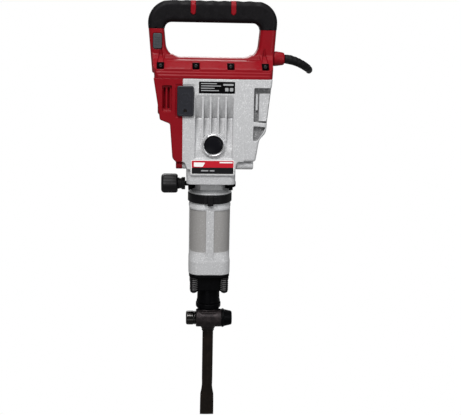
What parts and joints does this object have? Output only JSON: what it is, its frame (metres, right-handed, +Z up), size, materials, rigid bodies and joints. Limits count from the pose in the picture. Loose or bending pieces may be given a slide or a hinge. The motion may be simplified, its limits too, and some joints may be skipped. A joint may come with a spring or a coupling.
{
  "type": "demolition hammer",
  "caption": "Upright electric demolition hammer with a D-shaped top handle, cast gear case and barrel, pin-locked chisel and a swinging side handle.",
  "frame": {"origin": "centre of the top grip, where a hand holds the tool up", "axes": "+Z up along the barrel, away from the chisel; -Y the front with the oil gauge; +X the side where the cord leaves"},
  "size_m": [0.3305, 0.225, 0.8638],
  "materials": {
    "red_shell": "satin moulded red plastic",
    "rubber": "matte black rubber",
    "casting": "fine-grained silver painted casting",
    "black_plastic": "black moulded plastic",
    "grey_plastic": "grey moulded plastic",
    "steel": "machined steel",
    "dark_steel": "blackened forged steel",
    "carbon": "carbon brush",
    "lens": "dark oil window",
    "copper": "copper and laminated steel"
  },
  "bodies": {
    "root": {"handle_front_shell": "red_shell", "handle_rear_shell": "red_shell", "grip_cover": "rubber", "grip_stripe_left": "red_shell", "grip_stripe_right": "red_shell", "handle_screw_1": "dark_steel", "handle_screw_2": "dark_steel", "handle_screw_3": "dark_steel", "handle_screw_4": "dark_steel", "switch_body": "black_plastic", "motor_housing": "red_shell", "crank_case": "casting", "gear_cover": "casting", "rear_cover": "casting", "brush_cover_front": "black_plastic", "brush_cover_rear": "black_plastic", "brush_cover_screw": "steel", "data_plate": "black_plastic", "badge_plate": "red_shell", "oil_gauge_ring": "steel", "oil_gauge_lens": "lens", "stator": "copper", "motor_bearing_left": "steel", "motor_bearing_right": "steel", "brush_front": "carbon", "brush_rear": "carbon", "crank_bearing": "steel", "cylinder": "steel", "barrel_case": "casting", "barrel_band": "rubber", "front_cover": "black_plastic", "front_bolt_1": "black_plastic", "front_bolt_2": "black_plastic", "front_bolt_3": "black_plastic", "front_bolt_4": "black_plastic", "retainer_body": "dark_steel", "retainer_cap": "black_plastic", "handle_clamp": "black_plastic", "clamp_bolt": "steel", "cord_gland": "red_shell", "cord_guard": "rubber", "cord_lead": "rubber", "cord_coil": "rubber", "cord_plug": "rubber"},
    "switch": {"switch_button": "grey_plastic"},
    "armature": {"armature": "copper", "cooling_fan": "black_plastic"},
    "crank": {"crankshaft": "steel", "drive_gear": "steel"},
    "piston": {"piston": "casting", "piston_pin": "steel"},
    "connecting_rod": {"connecting_rod": "steel"},
    "striker": {"striker": "steel"},
    "anvil": {"anvil": "steel"},
    "chisel": {"chisel": "dark_steel"},
    "retainer_slider": {"retainer_spring": "steel"},
    "retainer_pin": {"retainer_pin": "steel"},
    "side_handle": {"side_handle_frame": "dark_steel", "side_grip": "rubber"},
    "clamp_knob": {"clamp_knob": "black_plastic"}
  },
  "joints": [
    {"name": "switch_press", "type": "slide", "parent": "root", "child": "switch", "axis": [0, 1, 0], "range_m": [0, 0.003], "stiffness_N_per_m": 400},
    {"name": "crank_spin", "type": "hinge", "parent": "root", "child": "crank", "pos_m": [0, 0, -0.246], "axis": [1, 0, 0], "continuous": true},
    {"name": "armature_spin", "type": "hinge", "parent": "root", "child": "armature", "pos_m": [0, 0, -0.188], "axis": [1, 0, 0], "continuous": true},
    {"name": "piston_stroke", "type": "slide", "parent": "root", "child": "piston", "axis": [0, 0, 1], "range_m": [-0.017, 0.017]},
    {"name": "rod_swing", "type": "hinge", "parent": "piston", "child": "connecting_rod", "pos_m": [0, 0, -0.35], "axis": [1, 0, 0], "range_deg": [-9.4, 9.4]},
    {"name": "striker_stroke", "type": "slide", "parent": "root", "child": "striker", "axis": [0, 0, 1], "range_m": [-0.006, 0.018]},
    {"name": "chisel_stroke", "type": "slide", "parent": "root", "child": "chisel", "axis": [0, 0, 1], "range_m": [0, 0.016]},
    {"name": "anvil_stroke", "type": "slide", "parent": "root", "child": "anvil", "axis": [0, 0, 1], "range_m": [0, 0.016]},
    {"name": "retainer_pull", "type": "slide", "parent": "root", "child": "retainer_slider", "axis": [-1, 0, 0], "range_m": [0, 0.006], "stiffness_N_per_m": 800},
    {"name": "retainer_turn", "type": "hinge", "parent": "retainer_slider", "child": "retainer_pin", "pos_m": [0, -0.017, -0.6194], "axis": [1, 0, 0], "range_deg": [0, 180]},
    {"name": "side_handle_swing", "type": "hinge", "parent": "root", "child": "side_handle", "pos_m": [0, 0, -0.3395], "axis": [1, 0, 0], "range_deg": [-80, 0]},
    {"name": "clamp_knob_turn", "type": "hinge", "parent": "root", "child": "clamp_knob", "pos_m": [0, 0, -0.3395], "axis": [1, 0, 0], "range_deg": [0, 360]}
  ],
  "couplings": [
    {"joint": "armature_spin", "follows": "crank_spin", "ratio": -3},
    {"joint": "anvil_stroke", "follows": "chisel_stroke", "ratio": 1}
  ]
}
